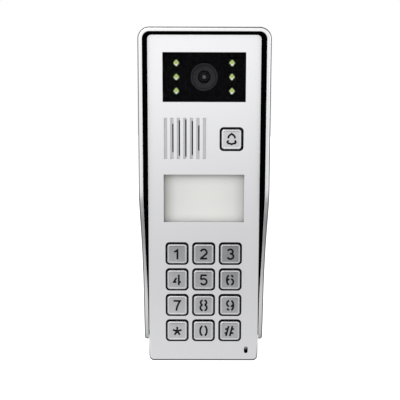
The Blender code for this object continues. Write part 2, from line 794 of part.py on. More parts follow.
def make_button(cap_name, stem_name, legend, place):
    """A stencil-cut metal cap on its plastic stem; both ride on one slide along Y."""
    where = (place[0], -KEY_FACE, place[1])

    def square(size, radius):
        return rounded_rectangle(size, size, radius, steps=3)

    def ring(outline, depth):
        return ring_at(outline, depth - KEY_FACE)

    field = KEY_CAP - 2 * KEY_RIM
    bm = bmesh.new()
    rings = [
        ring(square(field, 0.9 * MM), KEY_FACE - KEY_RIM_DEPTH),
        ring(square(field + 0.5 * MM, 1.15 * MM), KEY_FACE - 0.05 * MM),
        ring(square(KEY_CAP - 0.9 * MM, KEY_CAP_RADIUS - 0.45 * MM), KEY_FACE),
        ring(square(KEY_CAP, KEY_CAP_RADIUS), KEY_FACE - KEY_EDGE_ROUND),
        ring(square(KEY_CAP, KEY_CAP_RADIUS), KEY_CAP_BACK),
    ]
    loft(bm, rings)
    cap = make_object(cap_name, bm, "key_metal", where)
    for stroke in LEGENDS[legend]:
        cutter = bmesh.new()
        outline = ribbon([(x * MM, z * MM) for x, z in stroke], STROKE)
        loft(cutter, [ring(outline, KEY_CAP_BACK - OVERCUT), ring(outline, KEY_FACE + OVERCUT)])
        combine(cap, cutter, "DIFFERENCE")

    neck = square(KEY_CAP - 0.6 * MM, KEY_CAP_RADIUS - 0.3 * MM)
    flange = square(KEY_FLANGE, KEY_CAP_RADIUS)
    flange_far = PANEL_BACK - GAP
    flange_near = flange_far - KEY_FLANGE_DEPTH
    stem = bmesh.new()
    rings = [
        ring(neck, KEY_CAP_BACK - GAP),
        ring(neck, flange_far),
        ring(flange, flange_far),
        ring(flange, flange_near),
    ]
    loft(stem, rings)
    make_object(stem_name, stem, "black_plastic", where)


def make_keypad():
    for name, place in key_places().items():
        make_button(f"key_{name}", f"stem_{name}", name, place)

    centre = (0.0, KEYPAD_CENTRE)
    board = rounded_rectangle(*KEYPAD_BOARD, 1.5 * MM, centre=centre, steps=2)
    slab("keypad_board", "circuit_board", board, KEYPAD_BOARD_FRONT - BOARD_DEPTH, KEYPAD_BOARD_FRONT)

    mat_near = KEYPAD_BOARD_FRONT + GAP
    mat_far = mat_near + KEYPAD_MAT_DEPTH
    outline = rounded_rectangle(*KEYPAD_MAT, 2 * MM, centre=centre, steps=2)
    mat = slab("keypad_mat", "silicone", outline, mat_near, mat_far)
    dome_top = PANEL_BACK - GAP - KEY_FLANGE_DEPTH - KEY_TRAVEL - GAP
    dome = [
        (DOME_FOOT_RADIUS, mat_far - KEYPAD_MAT_DEPTH / 2),
        (DOME_FOOT_RADIUS, mat_far),
        (DOME_TOP_RADIUS, dome_top),
    ]
    domes = bmesh.new()
    for place in key_places().values():
        turned(domes, dome, place, steps=12)
    combine(mat, domes, "UNION")


def make_call_button():
    make_button("call_button", "stem_call", "call", CALL_PLACE)
    turned_object(
        "call_switch",
        "black_plastic",
        [
            (5.0 * MM, 6.5 * MM),
            (5.0 * MM, 10.5 * MM),
            (2.4 * MM, 10.8 * MM),
            (2.4 * MM, 20.6 * MM),
            (2.0 * MM, 20.9 * MM),
        ],
        CALL_PLACE,
        steps=20,
    )


def make_microphone():
    front = PANEL_BACK - GAP
    turned_object(
        "microphone_boot",
        "seal_rubber",
        [
            (3.4 * MM, front - 7.0 * MM),
            (4.7 * MM, front - 7.0 * MM),
            (4.7 * MM, front),
            (1.5 * MM, front),
            (1.5 * MM, front - 1.4 * MM),
            (3.4 * MM, front - 1.8 * MM),
        ],
        MICROPHONE_PLACE,
        closed=True,
        steps=24,
    )
    turned_object(
        "microphone",
        "zinc_steel",
        [(3.0 * MM, front - 6.6 * MM), (3.0 * MM, front - 2.6 * MM), (2.7 * MM, front - 2.3 * MM)],
        MICROPHONE_PLACE,
        steps=24,
    )


def make_electronics():
    board = rounded_rectangle(*MAIN_BOARD, 1.5 * MM, centre=MAIN_BOARD_PLACE, steps=2)
    slab("main_board", "circuit_board", board, MAIN_BOARD_FRONT - BOARD_DEPTH, MAIN_BOARD_FRONT)

    foot = MAIN_BOARD_FRONT + GAP
    block = rounded_rectangle(*TERMINAL_BLOCK, 0.0, centre=TERMINAL_PLACE)
    terminal = slab("terminal_block", "terminal_green", block, foot, foot + TERMINAL_DEPTH)
    wire_ways = bmesh.new()
    way = [(1.6 * MM, foot + 5 * MM), (1.6 * MM, foot + TERMINAL_DEPTH + OVERCUT)]
    for index in range(TERMINAL_COUNT):
        across = (index - (TERMINAL_COUNT - 1) / 2) * TERMINAL_PITCH
        turned(wire_ways, way, (TERMINAL_PLACE[0] + across, TERMINAL_PLACE[1]), steps=12)
    combine(terminal, wire_ways, "DIFFERENCE")

    width, height = RELAY
    case = rounded_rectangle(width, height, 1 * MM, centre=RELAY_PLACE, steps=2)
    lid = rounded_rectangle(
        width - 2 * RELAY_BEVEL,
        height - 2 * RELAY_BEVEL,
        1 * MM - RELAY_BEVEL,
        centre=RELAY_PLACE,
        steps=2,
    )
    front = foot + RELAY_DEPTH
    relay = bmesh.new()
    loft(relay, [ring_at(case, foot), ring_at(case, front - RELAY_BEVEL), ring_at(lid, front)])
    make_object("relay", relay, "relay_blue")


def main():
    clear_scene()
    make_wall_plate()
    make_back_housing()
    make_cable_grommet()
    make_electronics()
    make_panel_gasket()
    make_front_panel()
    make_security_screws()
    make_rain_hood()
    make_hood_liner()
    make_camera()
    make_speaker()
    make_name_window()
    make_keypad()
    make_call_button()
    make_microphone()


main()
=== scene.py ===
import json
import math

import bmesh
import bpy
from mathutils import Matrix, Vector


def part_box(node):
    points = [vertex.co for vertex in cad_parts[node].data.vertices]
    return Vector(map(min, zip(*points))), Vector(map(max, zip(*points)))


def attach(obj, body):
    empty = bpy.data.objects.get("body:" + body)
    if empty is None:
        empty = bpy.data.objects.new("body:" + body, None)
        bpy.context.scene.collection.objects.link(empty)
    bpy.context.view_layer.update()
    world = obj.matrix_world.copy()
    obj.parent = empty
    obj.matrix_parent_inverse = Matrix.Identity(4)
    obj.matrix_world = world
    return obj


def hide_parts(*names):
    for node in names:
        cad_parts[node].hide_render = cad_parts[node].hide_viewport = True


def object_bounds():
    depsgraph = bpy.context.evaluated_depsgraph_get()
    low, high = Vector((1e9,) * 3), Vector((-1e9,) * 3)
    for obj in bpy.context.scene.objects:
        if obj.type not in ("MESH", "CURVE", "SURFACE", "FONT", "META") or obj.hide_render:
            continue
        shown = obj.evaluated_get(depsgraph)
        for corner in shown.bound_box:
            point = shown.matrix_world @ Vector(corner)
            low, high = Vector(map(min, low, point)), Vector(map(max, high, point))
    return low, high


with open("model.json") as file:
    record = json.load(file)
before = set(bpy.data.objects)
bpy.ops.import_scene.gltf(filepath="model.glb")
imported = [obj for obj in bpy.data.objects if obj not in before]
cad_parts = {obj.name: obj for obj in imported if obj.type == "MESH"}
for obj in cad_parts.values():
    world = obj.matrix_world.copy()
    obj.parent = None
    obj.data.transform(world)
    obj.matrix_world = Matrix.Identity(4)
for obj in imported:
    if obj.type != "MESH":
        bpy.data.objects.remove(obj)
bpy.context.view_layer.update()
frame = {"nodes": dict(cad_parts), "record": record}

mm = 0.001
tiny = 0.001 * mm  # places closer than this are the same place
overshoot = 1 * mm  # how far a cutting tool reaches past the piece
keyNames = ["1", "2", "3", "4", "5", "6", "7", "8", "9", "star", "0", "hash"]

# camera and light


camera = {
    "focal": 80.84,
    "place": (-4.32 * mm, -684.0 * mm, 118.1 * mm),
    "pitch": 10.0,  # degrees below level
    "yaw": 0.126,
    "roll": 0.126,
}


def placeCamera():
    data = bpy.data.cameras.new("stationCamera")
    data.lens = camera["focal"]
    data.sensor_width = 36.0
    data.clip_start = 0.01
    holder = bpy.data.objects.new("stationCamera", data)
    bpy.context.scene.collection.objects.link(holder)
    turn = Matrix.Rotation(math.radians(-camera["yaw"]), 4, "Z")
    turn = turn @ Matrix.Rotation(math.radians(90 - camera["pitch"]), 4, "X")
    turn = turn @ Matrix.Rotation(math.radians(camera["roll"]), 4, "Z")
    holder.matrix_world = Matrix.Translation(camera["place"]) @ turn
    bpy.context.scene.camera = holder


stage = {
    "floorDrop": 0.45,  # the station hangs this far above the floor
    "floorSize": 12.0,
    "floorColour": (0.93, 0.93, 0.93),
    # how bright the studio is by height, from straight down (0) to straight up (1)
    "rise": [
        (0.0, 0.12), (0.12, 0.34), (0.25, 0.6), (0.325, 0.8), (0.343, 0.75), (0.364, 0.64),
        (0.396, 0.69), (0.439, 0.85), (0.472, 1.0), (0.5, 1.07), (0.56, 1.14), (0.75, 1.0),
        (0.92, 0.5), (1.0, 0.4),
    ],
    # from behind the station (0) to in front of it (1)
    "depth": [(0.0, 0.5), (0.25, 0.55), (0.5, 0.4), (0.64, 0.55), (0.78, 1.0), (0.88, 1.08), (1.0, 1.0)],
    # and from left (0) to right (1)
    "side": [(0.0, 1.15), (0.42, 1.08), (0.58, 0.93), (1.0, 0.85)],
}

lamps = [
    {"name": "keyLight", "place": (-0.5, -1.3, 1.1), "size": (0.9, 0.9), "power": 5.0},
    {"name": "fillLight", "place": (1.0, -1.1, 0.25), "size": (0.7, 1.0), "power": 1.5},
    {"name": "backLight", "place": (0.3, 1.2, 1.0), "size": (1.2, 0.8), "power": 3.0},
]


def addAreaLight(name, place, size, power):
    data = bpy.data.lights.new(name, "AREA")
    data.shape = "RECTANGLE"
    data.size, data.size_y = size
    data.energy = power
    light = bpy.data.objects.new(name, data)
    bpy.context.scene.collection.objects.link(light)
    light.location = place
    light.rotation_euler = (-Vector(place)).to_track_quat("-Z", "Y").to_euler()


# shader maths: a wire is one socket, and sums on wires add their own nodes


class Wire:
    def __init__(self, tree, socket):
        self.tree = tree
        self.socket = socket

    def sum(self, operation, first, second):
        return Tree(self.tree).add("ShaderNodeMath", {"operation": operation}, {0: first, 1: second})

    def __add__(self, other):
        return self.sum("ADD", self, other)

    def __radd__(self, other):
        return self.sum("ADD", other, self)

    def __sub__(self, other):
        return self.sum("SUBTRACT", self, other)

    def __rsub__(self, other):
        return self.sum("SUBTRACT", other, self)

    def __mul__(self, other):
        return self.sum("MULTIPLY", self, other)

    def __rmul__(self, other):
        return self.sum("MULTIPLY", other, self)

    def __gt__(self, other):
        return self.sum("GREATER_THAN", self, other)

    def __pow__(self, other):
        return self.sum("POWER", self, other)


class Tree:
    def __init__(self, tree):
        self.tree = tree

    def add(self, kind, settings=None, inputs=None, output=0):
        node = self.tree.nodes.new(kind)
        for name, value in (settings or {}).items():
            if name == "stops":
                ramp = node.color_ramp
                while len(ramp.elements) < len(value):
                    ramp.elements.new(0.5)
                for stop, (place, colour) in zip(ramp.elements, value):
                    stop.position = place
                    stop.color = (*colour, 1.0)
            else:
                setattr(node, name, value)
        for name, value in (inputs or {}).items():
            if isinstance(value, Wire):
                self.tree.links.new(value.socket, node.inputs[name])
            else:
                node.inputs[name].default_value = value
        return Wire(self.tree, node.outputs[output])

    def mixColour(self, mask, dark, light):
        # sockets 6 and 7 are the Mix node's two colours, and output 2 its colour
        first = dark if isinstance(dark, Wire) else (*dark, 1.0)
        second = light if isinstance(light, Wire) else (*light, 1.0)
        return self.add("ShaderNodeMix", {"data_type": "RGBA"}, {0: mask, 6: first, 7: second}, 2)

    def place(self, scale=(1, 1, 1)):
        where = self.add("ShaderNodeTexCoord", output=3)
        return self.add("ShaderNodeMapping", None, {"Vector": where, "Scale": scale})

    def split(self, where):
        node = self.add("ShaderNodeSeparateXYZ", None, {0: where}).socket.node
        return [Wire(self.tree, output) for output in node.outputs]

    def ramp(self, along, stops):
        greys = [(place, (tone, tone, tone)) for place, tone in stops]
        return self.add("ShaderNodeValToRGB", {"stops": greys}, {0: along})

    def falloff(self, distance, reach, loss):
        # 1 beyond the reach, falling by the loss towards a distance of nothing
        settings = {"operation": "SUBTRACT", "use_clamp": True}
        near = self.add("ShaderNodeMath", settings, {0: 1.0, 1: distance * (1 / reach)})
        return 1.0 - near ** 2.0 * loss

    def noise(self, where, scale, detail, roughness):
        inputs = {"Vector": where, "Scale": scale, "Detail": detail, "Roughness": roughness}
        return self.add("ShaderNodeTexNoise", None, inputs)

    def bump(self, height, strength, distance):
        inputs = {"Height": height, "Strength": strength, "Distance": distance}
        return self.add("ShaderNodeBump", None, inputs)


def newFinish(name):
    material = bpy.data.materials.new(name)
    material.use_nodes = True
    tree = material.node_tree
    shader = tree.nodes["Principled BSDF"]
    return material, Tree(tree), shader


def feed(tree, shader, **inputs):
    for name, value in inputs.items():
        socket = shader.inputs[name.replace("_", " ")]
        if isinstance(value, Wire):
            tree.tree.links.new(value.socket, socket)
        else:
            socket.default_value = value


# finishes

even = (1, 1, 1)
upright = (1.0, 1.0, 0.03)


def brushedMetal(
    name, dark, light, roughness, grain, depth, cloud, stretch=even, metallic=1.0, paintedShadeLean=None
):
    # stretch is small along the grain and 1 across it; the lean is painted shade, making it paler one way
    # across the object and darker the other
    material, tree, shader = newFinish(name)
    along = tree.place(scale=stretch)
    fine = tree.noise(along, grain, 4.0, 0.6)
    broad = tree.noise(tree.place(), cloud, 3.0, 0.5)
    mix = fine * 0.55 + broad * 0.45
    if paintedShadeLean:
        x, y, z = tree.split(tree.place())
        mix = mix * 0.5 + 0.25 + x * paintedShadeLean[0] + z * paintedShadeLean[1] + paintedShadeLean[2]
    tone = tree.mixColour(mix, dark, light)
    feed(
        tree,
        shader,
        Base_Color=tone,
        Metallic=metallic,
        Roughness=roughness - 0.06 + fine * 0.08 + broad * 0.05,
        Normal=tree.bump(fine, 0.35, depth * mm),
    )
    return material


def mouldedPlastic(name, colour, roughness, coat=0.0, shine=0.5):
    material, tree, shader = newFinish(name)
    where = tree.place()
    texture = tree.noise(where, 2600.0, 2.0, 0.5)
    wear = tree.noise(where, 70.0, 4.0, 0.6)
    light = tuple(min(1.0, c * 1.5 + 0.001) for c in colour)
    tone = tree.mixColour(wear * 0.6 + texture * 0.2, colour, light)
    feed(
        tree,
        shader,
        Base_Color=tone,
        Roughness=roughness - 0.06 + wear * 0.12,
        Coat_Weight=coat,
        Specular_IOR_Level=shine,
        Normal=tree.bump(texture, 0.4, 0.03 * mm),
    )
    return material


def rubberFinish(name, colour, roughness):
    material, tree, shader = newFinish(name)
    where = tree.place()
    texture = tree.noise(where, 1800.0, 3.0, 0.6)
    dust = tree.noise(where, 120.0, 4.0, 0.6)
    pale = tuple(c * 1.4 + 0.02 for c in colour)
    feed(
        tree,
        shader,
        Base_Color=tree.mixColour(dust ** 2.0, colour, pale),
        Roughness=roughness - 0.08 + dust * 0.16,
        Normal=tree.bump(texture, 0.5, 0.04 * mm),
    )
    return material


def circuitFinish(name):
    # green solder mask over faint copper tracks, with a woven glass grain under it
    material, tree, shader = newFinish(name)
    where = tree.place()
    settings = {"wave_type": "BANDS", "bands_direction": "X"}
    inputs = {"Vector": where, "Scale": 120.0, "Distortion": 6.0}
    tracks = tree.add("ShaderNodeTexWave", settings, inputs)
    lines = tracks > 0.72
    weave = tree.noise(where, 1500.0, 2.0, 0.5)
    feed(
        tree,
        shader,
        Base_Color=tree.mixColour(lines * 0.7 + weave * 0.15, (0.012, 0.10, 0.035), (0.05, 0.24, 0.09)),
        Roughness=0.34 + weave * 0.14,
        Coat_Weight=0.4,
        Normal=tree.bump(lines, 0.4, 0.035 * mm),
    )
    return material


def smokedGlass(name):
    # a clear pane with a dark film: the camera shows faintly through it
    material, tree, shader = newFinish(name)
    film = tree.noise(tree.place(), 160.0, 3.0, 0.5)
    feed(
        tree,
        shader,
        Base_Color=tree.mixColour(film, (0.003, 0.003, 0.004), (0.005, 0.005, 0.006)),
        Roughness=0.03 + film * 0.03,
        IOR=1.49,
        Specular_IOR_Level=0.05,
        Alpha=0.5 + film * 0.02,
        Normal=tree.bump(film, 0.05, 0.02 * mm),
    )
    return material


def lensFinish(name):
    # a coated lens: dark, with a violet cast that grows towards its rim
    material, tree, shader = newFinish(name)
    rim = tree.add("ShaderNodeLayerWeight", None, {"Blend": 0.35}, 1)
    ripple = tree.noise(tree.place(), 300.0, 2.0, 0.5)
    tone = tree.mixColour(rim, (0.008, 0.008, 0.012), (0.035, 0.022, 0.060))
    feed(
        tree,
        shader,
        Base_Color=tone,
        Roughness=0.03 + ripple * 0.03,
        Coat_Weight=1.0,
        IOR=1.6,
        Normal=tree.bump(ripple, 0.03, 0.01 * mm),
    )
    return material


def glowFinish(name, dark, light, strength):
    material, tree, shader = newFinish(name)
    grain = tree.noise(tree.place(), 900.0, 3.0, 0.6)
    tone = tree.mixColour(grain, dark, light)
    feed(
        tree,
        shader,
        Base_Color=tone,
        Roughness=0.18 + grain * 0.1,
        Coat_Weight=0.6,
        Emission_Color=tone,
        Emission_Strength=strength,
        Normal=tree.bump(grain, 0.2, 0.03 * mm),
    )
    return material


def clearResin(name):
    material, tree, shader = newFinish(name)
    ripple = tree.noise(tree.place(), 700.0, 2.0, 0.5)
    feed(
        tree,
        shader,
        Base_Color=tree.mixColour(ripple, (0.10, 0.12, 0.08), (0.14, 0.16, 0.12)),
        Roughness=0.06 + ripple * 0.05,
        Alpha=0.14 + ripple * 0.04,
        Coat_Weight=0.6,
        Normal=tree.bump(ripple, 0.1, 0.01 * mm),
    )
    return material


def frostedAcrylic(name):
    # translucent off-white, in front of a backlight; painted shade darkens it towards each side of the
    # opening
    material, tree, shader = newFinish(name)
    cloud = tree.noise(tree.place(), 22.0, 2.0, 0.5)
    frost = tree.noise(tree.place(), 2200.0, 2.0, 0.5)
    low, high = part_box("name_window")
    middle = (low + high) / 2
    width, height = panel["nameOpening"]
    x, y, z = tree.split(tree.place())
    left, right = middle.x - width / 2, middle.x + width / 2
    bottom, top = middle.z - height / 2, middle.z + height / 2
    # painted shade near each edge of the opening
    light = tree.falloff(x - left, 11 * mm, 0.6)
    light = light * tree.falloff(right - x, 10 * mm, 0.38)
    light = light * tree.falloff(top - z, 9.5 * mm, 0.42)
    light = light * tree.falloff(z - bottom, 7 * mm, 0.32)
    clear = tree.mixColour(cloud * 0.6 + frost * 0.1, (0.86, 0.865, 0.84), (0.91, 0.915, 0.88))
    tone = tree.mixColour(light, (0.0, 0.0, 0.0), clear)
    feed(
        tree,
        shader,
        Base_Color=tone,
        Roughness=0.36 + frost * 0.12,
        Coat_Weight=0.15,
        Normal=tree.bump(frost, 0.25, 0.02 * mm),
    )
    return material


def paperFinish(name, dark, light, roughness):
    material, tree, shader = newFinish(name)
    fibre = tree.noise(tree.place(scale=(1.0, 1.0, 0.35)), 1600.0, 5.0, 0.7)
    feed(
        tree,
        shader,
        Base_Color=tree.mixColour(fibre, dark, light),
        Roughness=roughness - 0.05 + fibre * 0.1,
        Normal=tree.bump(fibre, 0.6, 0.05 * mm),
    )
    return material


def makeFinishes():
    return {
        "panel_aluminium": brushedMetal(
            "panelAluminium", (0.85, 0.85, 0.87), (0.90, 0.90, 0.915), 0.17, 2600.0, 0.004, 18.0
        ),
        "hood_aluminium": brushedMetal(
            "hoodAluminium", (0.82, 0.82, 0.83), (0.93, 0.93, 0.94), 0.26, 2600.0, 0.002, 30.0
        ),
        # painted shade: a darker copy of the aluminium for rounded edges
        "rounded_edge_shade": brushedMetal(
            "roundedEdgeShade", (0.40, 0.40, 0.41), (0.48, 0.48, 0.49), 0.3, 2600.0, 0.002, 30.0
        ),
        # the lean of the keys and their rims is painted shade, darker towards the top and right of the
        # keypad
        "key_metal": brushedMetal(
            "keyMetal", (0.20, 0.203, 0.218), (0.80, 0.80, 0.82), 0.3, 2200.0, 0.012, 160.0, upright,
            paintedShadeLean=(-4.5, -5.8, -0.44),
        ),
        "key_rim": brushedMetal(
            "keyRim", (0.52, 0.52, 0.535), (0.84, 0.84, 0.86), 0.26, 1800.0, 0.006, 160.0,
            paintedShadeLean=(-3.0, -5.0, -0.3),
        ),
        # painted shade: a dark copy of the key metal for the caps' side walls
        "key_side_shade": brushedMetal(
            "keySideShade", (0.07, 0.07, 0.075), (0.12, 0.12, 0.125), 0.4, 1800.0, 0.006, 160.0
        ),
        "call_metal": brushedMetal(
            "callMetal", (0.62, 0.62, 0.64), (0.72, 0.72, 0.74), 0.3, 2200.0, 0.012, 160.0, upright
        ),
        "call_rim": brushedMetal(
            "callRim", (0.74, 0.74, 0.76), (0.84, 0.84, 0.86), 0.26, 1800.0, 0.006, 160.0
        ),
        # painted shade: a darker copy of the panel's metal for the speaker slots' walls and the baffle
        # behind them
        "slot_metal": brushedMetal(
            "slotShadeMetal", (0.60, 0.60, 0.61), (0.68, 0.68, 0.69), 0.3, 2600.0, 0.01, 18.0
        ),
        "housing_metal": brushedMetal(
            "housingMetal", (0.34, 0.35, 0.36), (0.46, 0.47, 0.48), 0.46, 1500.0, 0.05, 40.0,
            metallic=0.85,
        ),
        "zinc_steel": brushedMetal(
            "zincSteel", (0.52, 0.53, 0.54), (0.72, 0.73, 0.75), 0.34, 900.0, 0.02, 60.0, (0.2, 1, 1)
        ),
        "black_plastic": mouldedPlastic("blackPlastic", (0.008, 0.008, 0.009), 0.45, shine=0.2),
        "liner_black": mouldedPlastic("linerBlack", (0.0008, 0.0008, 0.0008), 0.7, shine=0.0),
        # near black: painted shade on the walls of the holes and legend cuts, and the real black of the
        # camera mask and microphone boot
        "black_and_recess_shade": mouldedPlastic("blackAndRecessShade", (0.004, 0.004, 0.005), 0.6, shine=0.0),
        "lens_ring": mouldedPlastic("lensRing", (0.56, 0.56, 0.59), 0.45),
        "lens_band": mouldedPlastic("lensBand", (0.30, 0.30, 0.32), 0.45),
        # painted reflection: a pale glowing spot in the lens's middle
        "lens_painted_reflection": glowFinish("lensPaintedReflection", (0.26, 0.26, 0.27), (0.40, 0.40, 0.41), 0.9),
        # dark plastic down the bore, and painted shade in the grooves
        "lens_bore_shade": mouldedPlastic("lensBoreShade", (0.06, 0.06, 0.065), 0.4, shine=0.3),
        "lamp_shell": clearResin("lampShell"),
        # the LED cups glow: their colour is the phosphor's own, the glow is painted light
        "lamp_cup_glow": glowFinish("lampCupGlow", (0.44, 0.52, 0.22), (0.56, 0.64, 0.30), 5.4),
        # painted highlight: a white glint that glows
        "lamp_glint": glowFinish("lampGlint", (0.85, 0.88, 0.78), (0.95, 0.96, 0.90), 4.0),
        "smoked_glass": smokedGlass("smokedGlass"),
        "lens_glass": lensFinish("lensCoating"),
        # painted light too: the glowing middle of each cup
        "lamp_resin": glowFinish("lampResin", (0.30, 0.40, 0.05), (0.42, 0.54, 0.07), 4.6),
        "name_acrylic": frostedAcrylic("nameAcrylic"),
        "card": paperFinish("nameCard", (0.80, 0.79, 0.75), (0.92, 0.91, 0.88), 0.8),
        "circuit_board": circuitFinish("circuitBoard"),
        "terminal_green": mouldedPlastic("terminalGreen", (0.05, 0.28, 0.11), 0.45),
        "relay_blue": mouldedPlastic("relayBlue", (0.03, 0.10, 0.35), 0.35, coat=0.3),
        "silicone": rubberFinish("siliconeGrey", (0.42, 0.43, 0.44), 0.62),
        "seal_rubber": rubberFinish("sealRubber", (0.018, 0.018, 0.018), 0.78),
        "cone_paper": paperFinish("conePaper", (0.02, 0.02, 0.02), (0.05, 0.05, 0.05), 0.85),
    }


def dress(piece, *slots):
    piece.data.materials.clear()
    for slot in slots:
        piece.data.materials.append(finishes[slot])
    return piece


# small helpers for modelling by operators


def onlyPick(piece):
    if bpy.context.object and bpy.context.object.mode != "OBJECT":
        bpy.ops.object.mode_set(mode="OBJECT")
    bpy.ops.object.select_all(action="DESELECT")
    piece.select_set(True)
    bpy.context.view_layer.objects.active = piece


def settle(name):
    # the new primitive keeps its place in its mesh
    piece = bpy.context.object
    piece.name = name
    piece.data.name = name
    bpy.ops.object.transform_apply(location=True, rotation=True, scale=True)
    return piece


def addBlock(name, low, high):
    bpy.ops.object.select_all(action="DESELECT")
    middle = [(a + b) / 2 for a, b in zip(low, high)]
    bpy.ops.mesh.primitive_cube_add(size=1, location=middle)
    bpy.context.object.scale = [b - a for a, b in zip(low, high)]
    return settle(name)


def pickEdges(piece, wanted):
    onlyPick(piece)
    bpy.ops.object.mode_set(mode="EDIT")
    bpy.ops.mesh.select_mode(type="EDGE")
    bpy.ops.mesh.select_all(action="DESELECT")
    mesh = bmesh.from_edit_mesh(piece.data)
    for edge in mesh.edges:
        edge.select_set(wanted(edge.verts[0].co, edge.verts[1].co))
    bmesh.update_edit_mesh(piece.data)


def pickFaces(piece, wanted):
    onlyPick(piece)
    bpy.ops.object.mode_set(mode="EDIT")
    bpy.ops.mesh.select_mode(type="FACE")
    bpy.ops.mesh.select_all(action="DESELECT")
    mesh = bmesh.from_edit_mesh(piece.data)
    mesh.normal_update()
    for face in mesh.faces:
        face.select_set(wanted(face.calc_center_median(), face.normal))
    bmesh.update_edit_mesh(piece.data)


def endEdit():
    bpy.ops.object.mode_set(mode="OBJECT")


def faceOutward():
    bpy.ops.mesh.select_all(action="SELECT")
    bpy.ops.mesh.normals_make_consistent(inside=False)
    endEdit()


def roundPicked(offset, segments, material=-1):
    bpy.ops.mesh.bevel(
        offset=offset, segments=segments, affect="EDGES", clamp_overlap=False, material=material
    )
    endEdit()


def roundCorners(piece, radius, segments, wanted=lambda place: True):
    # rounds the corners of a block seen from the front, the edges that run along Y
    def isCorner(a, b):
        return abs(a.x - b.x) < tiny and abs(a.z - b.z) < tiny and wanted(a)

    pickEdges(piece, isCorner)
    roundPicked(radius, segments)


def roundFront(piece, y, radius, segments, wanted=lambda place: True):
    # rounds the rim of the face that lies in the plane at y
    def onFront(place):
        return abs(place.y - y) < tiny and wanted(place)

    pickEdges(piece, lambda a, b: onFront(a) and onFront(b))
    roundPicked(radius, segments)


def applyModifier(piece, kind, **settings):
    onlyPick(piece)
    modifier = piece.modifiers.new(kind.lower(), kind)
    for name, value in settings.items():
        setattr(modifier, name, value)
    bpy.ops.object.modifier_apply(modifier=modifier.name)


def joinPieces(pieces):
    onlyPick(pieces[0])
    for piece in pieces[1:]:
        piece.select_set(True)
    if len(pieces) > 1:
        bpy.ops.object.join()
    return pieces[0]


def cut(piece, tools):
    tool = joinPieces(tools)
    applyModifier(
        piece, "BOOLEAN", operation="DIFFERENCE", solver="EXACT", material_mode="TRANSFER", object=tool
    )
    bpy.data.objects.remove(tool, do_unlink=True)


def breakEdges(piece, width, segments, angle):
    applyModifier(
        piece,
        "BEVEL",
        width=width,
        segments=segments,
        limit_method="ANGLE",
        angle_limit=math.radians(angle),
        use_clamp_overlap=True,
        harden_normals=False,
    )


def smooth(piece, angle):
    # the wide faces keep their own direction, and only the rounded edges shade from one to the next
    onlyPick(piece)
    bpy.ops.object.shade_smooth_by_angle(angle=math.radians(angle))
    applyModifier(piece, "WEIGHTED_NORMAL", keep_sharp=True, weight=100)


def tidyMesh(piece):
    onlyPick(piece)
    bpy.ops.object.mode_set(mode="EDIT")
    bpy.ops.mesh.select_all(action="SELECT")
    bpy.ops.mesh.remove_doubles(threshold=tiny)
    faceOutward()


def turnProfile(name, x, z, profile, sides):
    # a turned piece about an axis along Y, with a ring at each (radius, depth)
    bpy.ops.object.select_all(action="DESELECT")
    radius, depth = profile[0]
    bpy.ops.mesh.primitive_circle_add(
        vertices=sides,
        radius=radius,
        fill_type="NGON",
        location=(x, -depth, z),
        rotation=(math.pi / 2, 0, 0),
    )
    piece = settle(name)
    bpy.ops.object.mode_set(mode="EDIT")
    bpy.ops.mesh.select_mode(type="FACE")
    bpy.ops.mesh.select_all(action="SELECT")
    for nextRadius, nextDepth in profile[1:]:
        bpy.ops.mesh.extrude_region_move()
        scale = nextRadius / radius
        mesh = bmesh.from_edit_mesh(piece.data)
        for vert in mesh.verts:
            if vert.select:
                vert.co = Vector((x + (vert.co.x - x) * scale, -nextDepth, z + (vert.co.z - z) * scale))
        bmesh.update_edit_mesh(piece.data)
        radius = nextRadius
    faceOutward()
    return piece


def middleOf(node):
    low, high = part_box(node)
    return (low + high) / 2


def fit(piece, slot, body, *nodes):
    # the finished piece stands for its CAD nodes and moves with their body
    if not piece.data.materials:
        dress(piece, slot)
    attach(piece, body)
    if nodes:
        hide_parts(*nodes)


# front panel

panel = {
    "thickness": 3.0 * mm,
    "topRadius": 3.2 * mm,
    "bottomRadius": 3.8 * mm,
    "edgeRound": 0.3 * mm,
    "lowerEdgeRound": 2.0 * mm,
    "keyHole": 17.4 * mm,
    "callHole": 17.6 * mm,
    "holeRadius": 3.0 * mm,
    "nameOpening": (59.6 * mm, 35.8 * mm),
    "paneGap": 0.3 * mm,
    "slotCount": 7,
    "slotPitch": 4.77 * mm,
    "slotSize": (2.25 * mm, 30.3 * mm),
    "slotRadius": 0.12 * mm,
    "microphoneHole": (2.8 * mm, 5.3 * mm),
    "holeEdge": 0.16 * mm,
}


# the walls of each hole take the wall finish, near-black painted shade unless another is given
def holeTool(x, z, width, height, radius, segments=8, wall="black_and_recess_shade"):
    low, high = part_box("front_panel")
    face = low.y
    tool = addBlock(
        "holeTool",
        (x - width / 2, face - overshoot, z - height / 2),
        (x + width / 2, face + panel["thickness"] + overshoot, z + height / 2),
    )
    if radius > 0:
        roundCorners(tool, radius, segments)
    return dress(tool, wall)


def onOutline(place, low, high):
    # on the panel's sides or top, round its top corners too
    radius = panel["topRadius"]
    across = min(place.x - low.x, high.x - place.x)
    below = high.z - place.z
    if across < radius and below < radius:
        return abs(math.hypot(radius - across, radius - below) - radius) < 10 * tiny
    return min(across, below) < 10 * tiny


